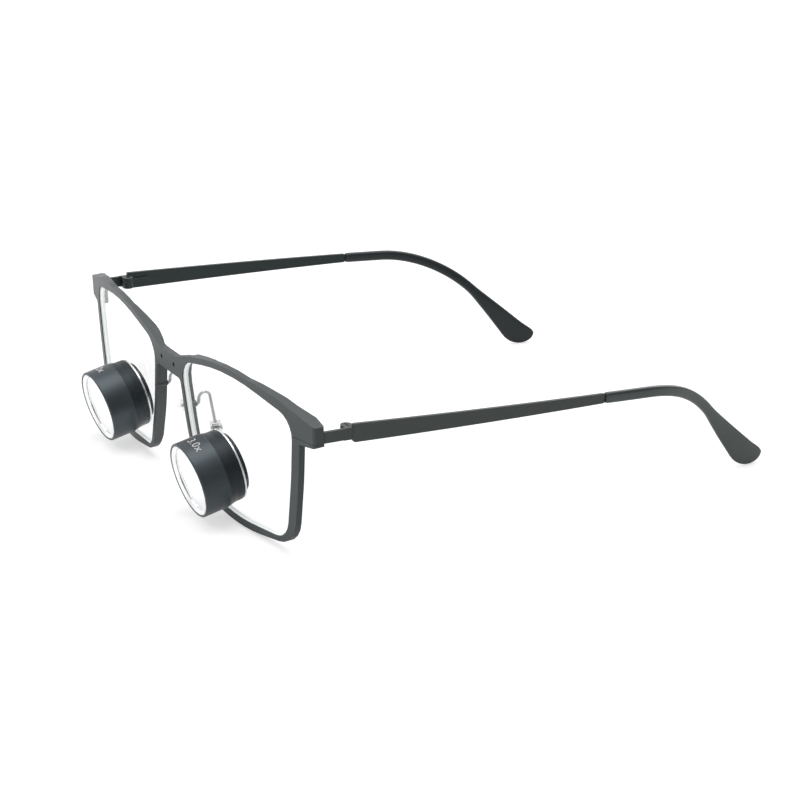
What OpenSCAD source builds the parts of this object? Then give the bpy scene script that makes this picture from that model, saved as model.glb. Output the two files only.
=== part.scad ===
// Surgical loupes: a flat metal spectacle front with two short Galilean
// telescopes set through its carrier lenses, adjustable nose pads and
// folding temples. +X is the wearer's left, -Y is the way the wearer looks
// and +Z is up. The loupes stand on their rims and temple tips at z = 0,
// and the origin is under the middle of their length and width.

/* [Carrier lenses] */
// Width of one lens opening in the front
lens_w = 52; // [47:0.5:56]
// Height of one lens opening in the front
lens_h = 39; // [36:0.1:42]
// Thickness of the carrier lens
lens_t = 1.4; // [1.2:0.1:2]
// Depth of the groove that holds the lens edge
groove_depth = 0.4; // [0.3:0.05:0.5]
// Distance from the rim's front face back to the lens
lens_inset = 0.3; // [0.2:0.05:0.45]

/* [Front] */
// Gap between the two lens openings at the bridge
bridge_gap = 17.6; // [15:0.2:21]
// Height of the bridge
bridge_h = 5.8; // [4.8:0.1:6.6]
// Depth of the bridge from front to back
bridge_depth = 1.8; // [1.6:0.1:2.6]
// Face width of the rim above the lens
rim_top = 1.7; // [1.5:0.1:3]
// Face width of the rim under the middle of the lens
rim_bottom = 2.3; // [1.8:0.1:3]
// Face width of the rim at its lower corners
rim_corner = 0.85; // [0.8:0.05:1.5]
// Face width of the rim beside the nose
rim_nose = 1.5; // [1.4:0.1:2]
// Face width of the rim at the temple side
rim_side = 2.9; // [2:0.1:3.5]
// Depth of the rims from front to back
rim_depth = 1.6; // [1.5:0.1:2.2]
// Radius of the front's wrap around the face
wrap_r = 340; // [260:5:500]
// Forward lean of the front's top edge, in degrees
lean = 3.9; // [0:0.1:7]
// Depth of the wall along the nose side and the brow of each rim
nose_wall = 3.1; // [2.5:0.1:3.6]
// Height of the end block that carries the hinge
block_h = 5.4; // [5:0.1:6.2]
// Width of the end block beyond the rim
block_w = 6.1; // [5.4:0.1:7.2]
// Depth of the end block from front to back
block_depth = 2.7; // [2.5:0.1:3.6]
// Width of the saw cut that lets the rim open for its lens
cut_w = 0.12; // [0.1:0.02:0.2]

/* [Bridge screw holes] */
// Distance between the two accessory screw holes
hole_pitch = 7.7; // [6.5:0.1:9]
// Radius of each accessory screw hole
hole_r = 0.6; // [0.4:0.05:0.8]

/* [Telescopes] */
// Distance between the telescope axes at the lenses
pupil_distance = 60.2; // [57:0.2:66]
// Depth of the telescope axes under the lens centres
scope_drop = 6.6; // [4:0.1:7.5]
// Downward tilt of the telescopes, in degrees
declination = 14.2; // [8:0.1:18]
// Inward turn of each telescope, in degrees
convergence = 0.4; // [0:0.1:4]
// Outer radius of the objective housing
scope_r = 10.1; // [9.8:0.1:11]
// Length of the straight front part of the objective housing
scope_front = 7.3; // [6.6:0.1:9]
// Length of the tapered part of the objective housing
scope_taper = 2.0; // [1:0.1:4]
// Outer radius of the objective housing at its rear edge
scope_rear_r = 9.6; // [9:0.05:9.7]
// Outer radius of the eyepiece housing behind the lens
eyepiece_r = 8.05; // [7.9:0.05:8.4]
// Length of the eyepiece housing behind the objective housing
eyepiece_len = 2.0; // [1.9:0.1:4]
// Wall of the objective housing around the objective
scope_wall = 0.65; // [0.5:0.05:0.9]
// Thickness of the objective crown lens in its middle
crown_t = 1.8; // [1.6:0.1:2.2]
// Thickness of the objective flint lens at its edge
flint_t = 1.5; // [1.2:0.1:1.8]
// Height of the silver front ring
ring_h = 0.9; // [0.6:0.1:1.3]
// Radial width of the silver front ring
ring_w = 1.0; // [0.7:0.1:1.4]
// Thickness of the silver ring behind the objective housing
seat_t = 0.45; // [0.3:0.05:0.6]
// Radius of the eyepiece lens
eye_r = 6.5; // [5.5:0.1:6.8]
// Thickness of the eyepiece lens at its edge
eye_t = 1.6; // [1.4:0.1:2]

/* [Hinges] */
// Radius of the hinge knuckles
knuckle_r = 1.5; // [1.3:0.05:1.8]
// Height of the three hinge knuckles together
hinge_h = 3.1; // [3:0.1:4.4]
// Radius of the hinge screw
hinge_screw_r = 0.6; // [0.5:0.05:0.7]
// Length of the neck from the end block to the temple
neck_len = 7.9; // [6.8:0.1:9]
// Height of the neck between the end block and the temple
neck_h = 2.9; // [2.4:0.1:3.4]
// Length of the hinge leaf along the temple
leaf_len = 6.5; // [5:0.5:9]

/* [Temples] */
// Length of the flat temple from its front end to the tip
temple_len = 73.1; // [62:0.1:85]
// Thickness of the flat temple
temple_t = 0.9; // [0.8:0.05:1.2]
// Height of the temple at the hinge
temple_h_front = 4.8; // [4.6:0.1:6]
// Height of the temple at the tip
temple_h_rear = 2.6; // [2.4:0.1:3.6]
// Radius of the temple's outward bow
bow_r = 1000; // [800:50:2000]
// Slope of the temple down to the back, in degrees
temple_slope = 1.4; // [0.5:0.1:2.4]

/* [Temple tips] */
// Straight part of the tip before its bend
tip_straight = 13.6; // [12:0.2:16]
// Slope of the straight part of the tip, in degrees
tip_slope = 2.6; // [1:0.1:4]
// Radius of the bend behind the ear
bend_r = 43.5; // [36:0.5:50]
// Turn of the bend behind the ear, in degrees
bend_turn = 42.5; // [40:0.5:46]
// Length of the rounded end of the tip
paddle_len = 9.1; // [8.8:0.1:11]
// Upward curl of the tip's middle line inside its rounded end, in degrees
paddle_lift = 59; // [45:1:62]
// Height of the tip where it is widest, near its end
paddle_h = 7.5; // [6.8:0.1:8.2]
// Height of the tip where it starts
tip_h = 3; // [2.8:0.1:4]
// Thickness of the tip where it starts
tip_t = 2.1; // [2:0.1:2.8]
// Inward offset of the tip's end
toe_in = 8.4; // [5:0.2:10]
// Length of the temple's core inside the tip
core_len = 38; // [20:1:45]

/* [Nose pads] */
// Distance between the centres of the nose pads
pad_spread = 15.2; // [14.8:0.1:16]
// Height of a nose pad
pad_h = 13; // [11:0.5:15]
// Width of a nose pad
pad_w = 7.6; // [7:0.1:8.5]
// Thickness of a nose pad in its middle
pad_t = 2.8; // [2.6:0.1:3.4]
// Distance of the pads behind the bridge's front face
pad_back = 10.7; // [10.2:0.1:12]
// Depth of the pads under the bridge screw holes
pad_drop = 17.8; // [16.8:0.1:18.6]
// Outward splay of the pads to the back, in degrees
pad_splay = 27; // [20:1:32]
// Outward slant of the pads to the bottom, in degrees
pad_slant = 20; // [14:1:24]
// Radius of the pad arm's wire
wire_r = 0.42; // [0.35:0.01:0.5]
// Radius of the curve over the top of the pad arm
loop_r = 1.6; // [1.3:0.05:2]
// Radius of the pad screw
pad_screw_r = 0.38; // [0.3:0.02:0.42]

/* [Hidden] */
$fn = 64;

// Clearances: a running fit on the radius, a gap between faces that move
// past each other, a seat between fixed pieces and a line of glue
fit = 0.05;
slip = 0.1;
seat = 0.02;
glue = 0.1;

// Fineness of the long curves of the front and the temples
long_fn = 720;

// Finishes as the photograph shows them
front_grey = [0.33, 0.34, 0.34];
temple_grey = [0.25, 0.26, 0.26];
tip_grey = [0.19, 0.21, 0.21];
barrel_black = [0.13, 0.14, 0.16];
silver = [0.82, 0.83, 0.84];
lens_clear = [0.85, 0.92, 0.93, 0.35];
pad_clear = [0.92, 0.93, 0.92, 0.6];

// Outlines. A corner is [x, z, radius], and a loop of corners runs
// anticlockwise as the wearer's left half is seen in the plan of x and z.

// Point where the line through p along d meets the line through q along e
function meeting(p, d, q, e) =
    p + d * (((q - p)[0] * e[1] - (q - p)[1] * e[0]) / (d[0] * e[1] - d[1] * e[0]));

function flat(corner) = [corner[0], corner[1]];
function unit(v) = v / norm(v);
function outward(v) = [v[1], -v[0]] / norm(v);
function before(loop, i) = flat(loop[(i + len(loop) - 1) % len(loop)]);
function after(loop, i) = flat(loop[(i + 1) % len(loop)]);

// A loop moved outward. At each corner the first width moves the edge that
// comes in and the second width the edge that goes out.
function grown(loop, widths) = [
    for (i = [0:len(loop) - 1])
        let (
            into = flat(loop[i]) - before(loop, i),
            onward = after(loop, i) - flat(loop[i]),
            p = flat(loop[i]) + outward(into) * widths[i][0],
            q = flat(loop[i]) + outward(onward) * widths[i][1],
            m = meeting(p, into, q, onward)
        )
        [m[0], m[1], loop[i][2] + (widths[i][0] + widths[i][1]) / 2]
];

// The points of a loop with each corner rounded by its radius
function rounded(loop, steps = 5) = [
    for (i = [0:len(loop) - 1])
        let (
            a = unit(before(loop, i) - flat(loop[i])),
            b = unit(after(loop, i) - flat(loop[i])),
            half = acos(a * b) / 2,
            reach = loop[i][2] / tan(half),
            centre = flat(loop[i]) + unit(a + b) * loop[i][2] / sin(half),
            from = flat(loop[i]) + a * reach - centre,
            to = flat(loop[i]) + b * reach - centre,
            turn = 180 - 2 * half
        )
        for (k = [0:steps])
            centre + (from * sin(turn * (1 - k / steps)) + to * sin(turn * k / steps)) / sin(turn)
];

// The lens opening in a box from -1 to 1 with radii in mm: bottom nose
// corner, bottom, bottom temple corner, temple side, top temple corner,
// top, top nose corner and nose side
lens_corners = [
    [-0.70, -0.908, 4.5], [0.05, -1.0, 60], [0.855, -0.927, 6.5], [0.965, 0, 90],
    [1.023, 0.796, 6], [-0.05, 1.056, 70], [-1.035, 0.774, 6], [-0.904, -0.146, 60]
];
rim_widths = [
    [rim_nose, rim_corner], [rim_bottom, rim_bottom], [rim_corner, rim_side], [rim_side, rim_side],
    [rim_side, rim_top], [rim_top, rim_top], [rim_top, rim_nose], [rim_nose, rim_nose]
];

// The front in its own plan, from the middle of the bridge screw holes
bridge_top = 2.9;
lens_rise = 3.8;
block_fall = 3.7;
bridge_bottom = bridge_top - bridge_h;
lens_top = bridge_top + lens_rise;
lens_cx = bridge_gap / 2 + lens_w / 2;
lens_cz = lens_top - lens_h / 2;
lens_out = lens_cx + lens_w / 2;
block_x = lens_out + rim_side + block_w;
block_top = lens_top - block_fall;
block_bottom = block_top - block_h;

opening = [for (c = lens_corners) [lens_cx + c[0] * lens_w / 2, lens_cz + c[1] * lens_h / 2, c[2]]];
rim_points = rounded(grown(opening, rim_widths));
function even(w) = [for (c = lens_corners) [w, w]];

// Depth of the front's curved face behind the screw holes
function sag(x) = wrap_r - sqrt(wrap_r * wrap_r - x * x);

// Height of the screw holes over the table when the rims rest on it
hole_z = -min([for (p = rim_points) p[1] * cos(lean) + sag(p[0]) * sin(lean)]);

// Telescope stations from the objective housing's rear edge, forward
skew = norm([declination - lean, convergence + asin(pupil_distance / 2 / wrap_r)]);
collar_len = (scope_rear_r + glue) * sin(skew) + 0.1;
taper_at = collar_len;
straight_at = taper_at + scope_taper;
scope_len = straight_at + scope_front;
bore_r = scope_r - scope_wall;
ring_at = scope_len - ring_h;
crown_bulge = 0.5;
cement_bulge = 0.45;
crown_edge_at = ring_at - 0.12;
crown_at = crown_edge_at - (crown_t - crown_bulge - cement_bulge);
flint_at = crown_at - flint_t;
thread_r = eyepiece_r - 0.55;
thread_len = 2.4;
spacer_r = thread_r - 0.1;
spacer_at = thread_len + seat;
sight_r = eye_r - 0.5;
eye_ring_t = 0.4;
eye_at = eye_ring_t - eyepiece_len;

// Place of the telescopes on the lens. The objective housing's rear edge is
// let into the lens by a shallow step.
scope_sink = 0.35;
scope_x = pupil_distance / 2;
scope_z = lens_cz - scope_drop;
scope_front_y = (sag(scope_x) + lens_inset + scope_sink) * cos(lean) - scope_z * sin(lean)
    - scope_len * cos(declination) - scope_r * sin(declination);

// Hinge and temple, in mm from the screw holes along y
temple_inset = 0.15;
neck_fall = 0.35;
block_rear = sag(block_x) + block_depth;
block_mid = (block_top + block_bottom) / 2;
hinge_z = hole_z + block_mid * cos(lean) + block_rear * sin(lean) - neck_fall;
block_rear_y = block_rear * cos(lean) - block_mid * sin(lean);
temple_y = block_rear_y + neck_len;
hinge_y = temple_y - slip - 0.5;
plate_out = block_x - temple_inset;
plate_in = plate_out - temple_t;
hinge_x = plate_in - slip - knuckle_r;
outer_knuckle_h = hinge_h / 3;
hinge_head_r = 1.1;
hinge_head_h = 0.45;

// Bow of the temples, as a circle seen from above
bow_y = temple_y + 51;
bow_x = plate_out - sqrt(pow(bow_r, 2) - pow(temple_y - bow_y, 2));
function bowed(y) = bow_x + sqrt(pow(bow_r, 2) - pow(y - bow_y, 2)) - temple_t / 2;

// Path of the tip in the plane of y and z. Turns are in degrees per mm.
function ahead(p, heading, turn, s) =
    abs(turn) < 0.000001
    ? p + s * [cos(heading), sin(heading)]
    : p + [sin(heading + turn * s) - sin(heading), cos(heading) - cos(heading + turn * s)]
        / (turn * PI / 180);
function eased(t) = let (c = min(max(t, 0), 1)) c * c * (3 - 2 * c);

tip_gap = 0.3;
end_round = 8.5;
tip_start = [temple_y + temple_len, hinge_z - temple_len * tan(temple_slope)];
bend_len = bend_r * bend_turn * PI / 180;
bend_rate = -bend_turn / bend_len;
paddle_rate = paddle_lift / paddle_len;
tip_fall = -tip_slope - bend_turn;
bend_start = ahead(tip_start, -tip_slope, 0, tip_straight);
bend_end = ahead(bend_start, -tip_slope, bend_rate, bend_len);
bend_at = tip_straight + bend_len;

// Half height of the rounded end and the lowest point it reaches
function end_half(s) = paddle_h / 2 * sqrt(max(0.004, 1 - pow(max(0, s - paddle_len + end_round) / end_round, 2)));
paddle_low = min([
    for (s = [paddle_len - end_round:0.25:paddle_len])
        ahead([0, 0], tip_fall, paddle_rate, s)[1] - end_half(s) * cos(tip_fall + paddle_rate * s)
]);
drop_len = (bend_end[1] + paddle_low) / sin(-tip_fall);
drop_end = ahead(bend_end, tip_fall, 0, drop_len);
drop_at = bend_at + drop_len;
tip_len = drop_at + paddle_len;
widest_at = tip_len - end_round;

function tip_heading(s) =
    s < tip_straight ? -tip_slope
    : s < bend_at ? -tip_slope + bend_rate * (s - tip_straight)
    : s < drop_at ? tip_fall
    : tip_fall + paddle_rate * (s - drop_at);
function tip_yz(s) =
    s < tip_straight ? ahead(tip_start, -tip_slope, 0, s)
    : s < bend_at ? ahead(bend_start, -tip_slope, bend_rate, s - tip_straight)
    : s < drop_at ? ahead(bend_end, tip_fall, 0, s - bend_at)
    : ahead(drop_end, tip_fall, paddle_rate, s - drop_at);
toe_y = bend_start[0] - 1;
toe_span = 40;
function tip_x(y) = bowed(y) - toe_in * eased((y - toe_y) / toe_span);
function tip_half_h(s) =
    s < bend_at ? tip_h / 2
    : s < widest_at ? tip_h / 2 + (paddle_h - tip_h) / 2 * (s - bend_at) / (widest_at - bend_at)
    : end_half(s - drop_at);
function tip_half_t(s) =
    tip_t / 2 * (1 - 0.2 * eased((s - bend_at) / drop_len))
    * (s < widest_at ? 1 : pow(max(0.02, 1 - pow((s - widest_at) / end_round, 2)), 0.3));

// One ring of points around the tip's path, as a rounded rectangle
ring_n = 16;
function bulged(v) = sign(v) * pow(abs(v), 0.7);
function tip_ring(s, half_h, half_t) =
    let (
        yz = tip_yz(s),
        h = tip_heading(s),
        x = tip_x(yz[0]),
        slope = (tip_x(yz[0] + 0.5) - tip_x(yz[0] - 0.5)) * cos(h),
        across = unit([1, -slope * cos(h), -slope * sin(h)])
    )
    [
        for (j = [0:ring_n - 1])
            [x, yz[0], yz[1]]
            + [0, -sin(h), cos(h)] * half_h * bulged(sin(360 * j / ring_n))
            + across * half_t * bulged(cos(360 * j / ring_n))
    ];

tip_rings = 40;
tip_stations = [for (i = [0:tip_rings]) tip_gap + (tip_len - tip_gap) * (1 - pow(1 - i / tip_rings, 1.35))];
core_h = 1.6;
core_t = 0.7;
core_rings = 20;
core_start = -1;

// Place of the whole model: the origin is under its middle
tip_end_y = max([for (s = tip_stations) for (p = tip_ring(s, tip_half_h(s), tip_half_t(s))) p[1]]);
middle_y = (scope_front_y + tip_end_y) / 2;

// Nose pad frame: out is away from the nose, up is along the pad
pad_axis_out = pad_t / 2 + 1.25;
pad_centre = [pad_spread / 2, pad_back, hole_z - pad_drop];
pad_out = [cos(pad_splay) * cos(pad_slant), -sin(pad_splay), cos(pad_splay) * sin(pad_slant)];
pad_up = [-sin(pad_slant), 0, cos(pad_slant)];
box_roof = 1.25;
box_wall = 0.5;
lug_w = 1.5;
lug_r = 0.85;

// Pad arm: from a socket in the rim's back, over its loop, to the pad box
arm_end = pad_centre + pad_out * pad_axis_out + pad_up * (box_roof + box_wall);
arm_x = arm_end[0];
arm_fall = 9.9;
arm_z = hole_z - arm_fall;
boss_depth = nose_wall + 0.1;
boss_r = 0.85;
arm_y = (sag(arm_x) + boss_depth) * cos(lean) + arm_fall * sin(lean);
arm_socket = 1.2;
arm_step = 0.05;
elbow_r = 0.8;
arm_rise = 0.7;
loop_centre = [arm_y + arm_step + elbow_r + loop_r, arm_z + elbow_r + arm_rise];
to_box = [arm_end[1], arm_end[2]] - loop_centre;
loop_angle = atan2(to_box[1], to_box[0]) + acos(loop_r / norm(to_box));
arm_drop = sqrt(pow(norm(to_box), 2) - pow(loop_r, 2));
arm_path = [
    [arm_socket + arm_step, 0], [elbow_r, 90], [arm_rise, 0],
    [loop_r, loop_angle - 180], [arm_drop + box_wall, 0]
];

// Placing modules

// From the screw holes' frame to the model's own frame
module placed() {
    translate([0, -middle_y, 0]) children();
}

// From the front's plan to the model's frame, leaning it forward
module leaning() {
    placed() translate([0, 0, hole_z]) rotate([lean, 0, 0]) children();
}

// From a telescope's own axis, +Z forward, to the model's frame
module on_scope() {
    leaning() translate([scope_x, sag(scope_x) + lens_inset + scope_sink, scope_z])
        rotate([-lean, 0, 0]) rotate([0, 0, -convergence]) rotate([90 + declination, 0, 0]) children();
}

// From a nose pad's own frame, +X away from the nose, to the model's frame
module on_pad() {
    placed() translate(pad_centre) rotate([0, -pad_slant, 0]) rotate([0, 0, -pad_splay]) children();
}

module on_hinge() {
    placed() translate([hinge_x, hinge_y, hinge_z]) children();
}

module mirrored() {
    mirror([1, 0, 0]) children();
}

// Solids that several pieces share

// An outline in the front's plan, made deep enough to cut it right through
module prism(points) {
    translate([0, 30, 0]) rotate([90, 0, 0]) linear_extrude(40) polygon(points);
}

// The curved slab between two depths behind the front's face
module slab(at, depth) {
    translate([0, wrap_r, -60]) difference() {
        cylinder(r = wrap_r - at, h = 100, $fn = long_fn);
        translate([0, 0, -1]) cylinder(r = wrap_r - at - depth, h = 102, $fn = long_fn);
    }
}

module tube(r_out, r_in, low, high) {
    rotate_extrude() translate([r_in, low]) square([r_out - r_in, high - low]);
}

// A closed tube of rings, and the same with a hollow from its first end
function skin(count, base, flip) = [
    for (i = [0:count - 2])
        for (j = [0:ring_n - 1])
            let (
                a = base + i * ring_n + j,
                b = base + i * ring_n + (j + 1) % ring_n,
                quad = [a, b, b + ring_n, a + ring_n]
            )
            flip ? [quad[3], quad[2], quad[1], quad[0]] : quad
];
function cap(base, flip) = [for (j = [0:ring_n - 1]) base + (flip ? ring_n - 1 - j : j)];
function flattened(rings) = [for (r = rings) for (p = r) p];

module solid_rings(rings) {
    last = (len(rings) - 1) * ring_n;
    polyhedron(flattened(rings), concat([cap(0, true)], skin(len(rings), 0, false), [cap(last, false)]));
}

module hollow_rings(outer, inner) {
    base = len(outer) * ring_n;
    mouth = [
        for (j = [0:ring_n - 1])
            [j, base + j, base + (j + 1) % ring_n, (j + 1) % ring_n]
    ];
    polyhedron(
        concat(flattened(outer), flattened(inner)),
        concat(
            mouth, skin(len(outer), 0, false), skin(len(inner), base, true),
            [cap((len(outer) - 1) * ring_n, false), cap(base + (len(inner) - 1) * ring_n, true)]
        )
    );
}

// A wire along a path of [length, 0] straights and [radius, turn] bends,
// from the origin along +X, bending in the plane of x and y. The straights
// are a touch thicker, so that they take the ends of the bends inside them.
module wire(r, path, i = 0) {
    if (i < len(path)) {
        step = path[i][0];
        turn = path[i][1];
        side = sign(turn);
        if (turn == 0) {
            translate([-0.03, 0, 0]) rotate([0, 90, 0]) cylinder(r = r + 0.01, h = step + 0.06, $fn = 24);
            translate([step, 0, 0]) wire(r, path, i + 1);
        } else {
            translate([0, side * step, 0]) rotate([0, 0, side > 0 ? -90 : 90 + turn])
                rotate_extrude(angle = abs(turn), $fn = 48) translate([step, 0]) circle(r = r, $fn = 24);
            translate([0, side * step, 0]) rotate([0, 0, turn]) translate([0, -side * step, 0])
                wire(r, path, i + 1);
        }
    }
}

module pad_wire(r) {
    placed() translate([arm_x, arm_y - arm_socket, arm_z])
        rotate([0, 0, 90]) rotate([90, 0, 0]) wire(r, arm_path);
}

// Front

bridge_side = bridge_gap / 2 - rim_nose;
bridge_half = [
    [bridge_side, bridge_bottom, 1.8], [bridge_side + 1.2, bridge_bottom - 3, 0.3],
    [bridge_gap / 2 + 6, bridge_top - 2, 0.5], [bridge_gap / 2 + 6, bridge_top + 2.5, 0.5],
    [bridge_gap / 2 + 1.6, bridge_top + 1.5, 8], [4.6, bridge_top - 0.4, 5]
];
function opposite(loop) = [for (i = [len(loop) - 1:-1:0]) [-loop[i][0], loop[i][1], loop[i][2]]];
brow_loop = [
    [lens_out - 26, lens_top - 5, 1], [lens_out - 2, block_bottom - 1, 0.5],
    [lens_out + rim_side, block_bottom - 0.6, 0.5], [block_x, block_bottom, 0.8], [block_x, block_top, 1],
    [lens_out + 4.7, lens_top - 2.6, 8], [lens_out - 4.9, lens_top - 0.15, 20],
    [lens_out - 15, lens_top + 1.15, 30], [lens_out - 26, lens_top + 0.6, 1]
];
brow_plan = [
    [lens_out - 28, -2, 0.2], [block_x, sag(block_x), 1.6],
    [block_x, block_rear, 0.4], [block_x - 4, block_rear, 1],
    [lens_out - 1, sag(lens_out - 1) + block_depth, 6],
    [lens_out - 15, sag(lens_out - 15) + rim_depth + 0.05, 4],
    [lens_out - 26, sag(lens_out - 26) + rim_depth - 0.2, 0.2]
];

groove_t = 0.6;
groove_at = (rim_depth - groove_t) / 2;
rim_screw_r = 0.5;
rim_screw_head_r = 0.95;
rim_screw_head_h = 0.6;
rim_screw_len = 4.4;
rim_cut_z = block_bottom + 0.8;
rim_screw_x = lens_out + rim_side + 1.4;
rim_screw_y = sag(rim_screw_x) + block_depth / 2;
rim_screw_z = block_bottom - 0.45;
tenon_len = 1.6;
tenon_h = 2.0;
tenon_t = 0.5;

// The wall along the nose side of the rim, which the pad arm stands on. It
// runs out to the rim's own depth along the brow and at the bottom corner.
wall_t = 0.75;
brow_start = bridge_gap / 2 + 6;
brow_end = bridge_gap / 2 + 19;
wall_plan = [
    [0, -2], [0, nose_wall], [brow_start, nose_wall],
    [brow_end, sag(brow_end) + rim_depth - 0.1], [brow_end, -2]
];
wall_side = [
    [0, lens_top + 5], [nose_wall + 1, lens_top + 5], [nose_wall + 1, lens_cz - lens_h * 0.22],
    [rim_depth, lens_cz - lens_h * 0.56], [0, lens_cz - lens_h * 0.56]
];

module one_rim() {
    intersection() {
        prism(rim_points);
        slab(0, rim_depth);
    }
    intersection() {
        prism(rounded(brow_loop));
        translate([0, 0, block_bottom - 20]) linear_extrude(60) polygon(rounded(brow_plan));
        slab(0, 20);
    }
    intersection() {
        difference() {
            prism(rim_points);
            prism(rounded(grown(opening, even(rim_nose - wall_t))));
        }
        rotate([90, 0, 90]) linear_extrude(brow_end + 1) polygon(wall_side);
        translate([0, 0, lens_cz - lens_h]) linear_extrude(2 * lens_h) polygon(wall_plan);
        slab(0, 20);
    }
    intersection() {
        translate([arm_x, 0, -arm_fall]) rotate([-90, 0, 0]) cylinder(r = boss_r, h = sag(arm_x) + boss_depth);
        slab(0.2, 20);
    }
}

module rim_cuts() {
    prism(rounded(opening));
    intersection() {
        prism(rounded(grown(opening, even(groove_depth))));
        slab(groove_at - seat, groove_t + 2 * seat);
    }
    translate([lens_out - 3, 0, rim_cut_z]) cube([block_w + 10, 30, cut_w]);
    translate([rim_screw_x, rim_screw_y, rim_screw_z]) {
        cylinder(r = rim_screw_r + seat, h = rim_screw_len + seat);
        translate([0, 0, -1]) cylinder(r = rim_screw_head_r + seat, h = 1 + rim_screw_head_h);
    }
}

module accessory_hole() {
    translate([hole_pitch / 2, -1, hole_z]) rotate([-90, 0, 0]) cylinder(r = hole_r, h = bridge_depth + 3);
}

module tenon(gap) {
    tenon_x = plate_in + (temple_t - tenon_t) / 2 - gap;
    placed() translate([tenon_x, block_rear_y - tenon_len - gap, hinge_z - tenon_h / 2 - gap])
        cube([tenon_t + 2 * gap, tenon_len + 1 + gap, tenon_h + 2 * gap]);
}

module front_frame() {
    color(front_grey) difference() {
        leaning() {
            one_rim();
            mirrored() one_rim();
            intersection() {
                prism(rounded(concat(bridge_half, opposite(bridge_half))));
                slab(0, bridge_depth);
            }
        }
        leaning() {
            rim_cuts();
            mirrored() rim_cuts();
        }
        placed() {
            accessory_hole();
            mirrored() accessory_hole();
        }
        tenon(seat);
        mirrored() tenon(seat);
        pad_wire(wire_r + seat);
        mirrored() pad_wire(wire_r + seat);
    }
}

module carrier_lens() {
    color(lens_clear) difference() {
        leaning() {
            intersection() {
                prism(rounded(grown(opening, even(-2 * seat))));
                slab(lens_inset, lens_t);
            }
            intersection() {
                prism(rounded(grown(opening, even(groove_depth - 2 * seat))));
                slab(groove_at, groove_t);
            }
        }
        on_scope() {
            translate([0, 0, -15]) cylinder(r = eyepiece_r + glue, h = 30);
            translate([0, 0, -seat_t - glue]) cylinder(r = scope_rear_r + glue, h = 15);
        }
    }
}

module rim_screw() {
    color(temple_grey) leaning() translate([rim_screw_x, rim_screw_y, rim_screw_z]) difference() {
        union() {
            cylinder(r = rim_screw_r, h = rim_screw_len);
            cylinder(r = rim_screw_head_r, h = rim_screw_head_h - seat);
        }
        translate([-2, -0.12, -1]) cube([4, 0.24, 1.25]);
    }
}

// Telescopes, along their own axis

module objective_housing() {
    color(barrel_black) on_scope() rotate_extrude() polygon([
        [thread_r, 0], [scope_rear_r - 0.3, 0], [scope_rear_r - 0.08, 0.1], [scope_rear_r, 0.35],
        [scope_rear_r, taper_at], [scope_r - 0.15, straight_at - 0.2], [scope_r, straight_at + 0.4],
        [scope_r, scope_len - 0.2], [scope_r - 0.2, scope_len], [bore_r, scope_len],
        [bore_r, flint_at], [spacer_r + seat, flint_at], [spacer_r + seat, spacer_at],
        [thread_r, thread_len]
    ]);
}

module front_ring() {
    out = bore_r - seat;
    color(silver) on_scope() rotate_extrude() polygon([
        [out - ring_w, ring_at], [out, ring_at], [out, scope_len - 0.1],
        [out - 0.15, scope_len - 0.1], [out - ring_w, ring_at + 0.2]
    ]);
}

// Points of a lens face from its edge to the axis, bulging by so much
function face(r, at, bulge, steps = 8) =
    let (ball = (r * r + bulge * bulge) / (2 * abs(bulge)))
    [
        for (k = [0:steps])
            let (x = r * (1 - k / steps))
            [x, at + sign(bulge) * (sqrt(ball * ball - x * x) - ball + abs(bulge))]
    ];
function turned(list) = [for (i = [len(list) - 1:-1:0]) list[i]];

module objective_crown() {
    r = bore_r - seat;
    color(lens_clear) on_scope() rotate_extrude()
        polygon(concat(face(r, crown_edge_at, crown_bulge), turned(face(r, crown_at, -cement_bulge))));
}

module objective_flint() {
    r = bore_r - seat;
    color(lens_clear) on_scope() rotate_extrude()
        polygon(concat(face(r, crown_at, -cement_bulge), [[0, flint_at], [r, flint_at]]));
}

module spacer_tube() {
    color(barrel_black) on_scope() tube(spacer_r, spacer_r - 0.6, spacer_at, flint_at);
}

module seat_ring() {
    color(silver) on_scope() tube(scope_rear_r - 0.05, thread_r, -seat_t, 0);
}

module eyepiece_housing() {
    color(barrel_black) on_scope() rotate_extrude() polygon([
        [eye_r + seat, -eyepiece_len], [eyepiece_r - 0.5, -eyepiece_len],
        [eyepiece_r - 0.15, -eyepiece_len + 0.12], [eyepiece_r, -eyepiece_len + 0.45],
        [eyepiece_r, -seat_t], [thread_r - seat, -seat_t], [thread_r - seat, thread_len],
        [sight_r, thread_len], [sight_r, eye_at + eye_t], [eye_r + seat, eye_at + eye_t]
    ]);
}

module eyepiece_lens() {
    color(lens_clear) on_scope() rotate_extrude()
        polygon(concat([[eye_r, eye_at + eye_t], [0, eye_at + eye_t]], turned(face(eye_r, eye_at, 0.5))));
}

module eyepiece_ring() {
    color(barrel_black) on_scope() rotate_extrude() polygon([
        [eye_r - 0.8, eye_at], [eye_r, eye_at], [eye_r, -eyepiece_len + 0.05],
        [eye_r - 0.2, -eyepiece_len + 0.05]
    ]);
}

// Nose pads, in their own frame

module pad_arm() {
    color(silver) pad_wire(wire_r);
}

module pad_box() {
    back = pad_axis_out + lug_r + 2 * slip;
    mouth = pad_axis_out - 0.75;
    half = lug_w / 2 + slip;
    color(silver) difference() {
        on_pad() difference() {
            translate([mouth, -half - box_wall, -box_roof])
                cube([back + box_wall - mouth, 2 * (half + box_wall), 2 * box_roof + box_wall]);
            translate([mouth - 1, -half, -box_roof - 1]) cube([back - mouth + 1, 2 * half, 2 * box_roof + 1]);
            translate([pad_axis_out, 3, 0]) rotate([90, 0, 0]) cylinder(r = pad_screw_r + seat, h = 6, $fn = 32);
        }
        pad_wire(wire_r + seat);
    }
}

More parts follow.
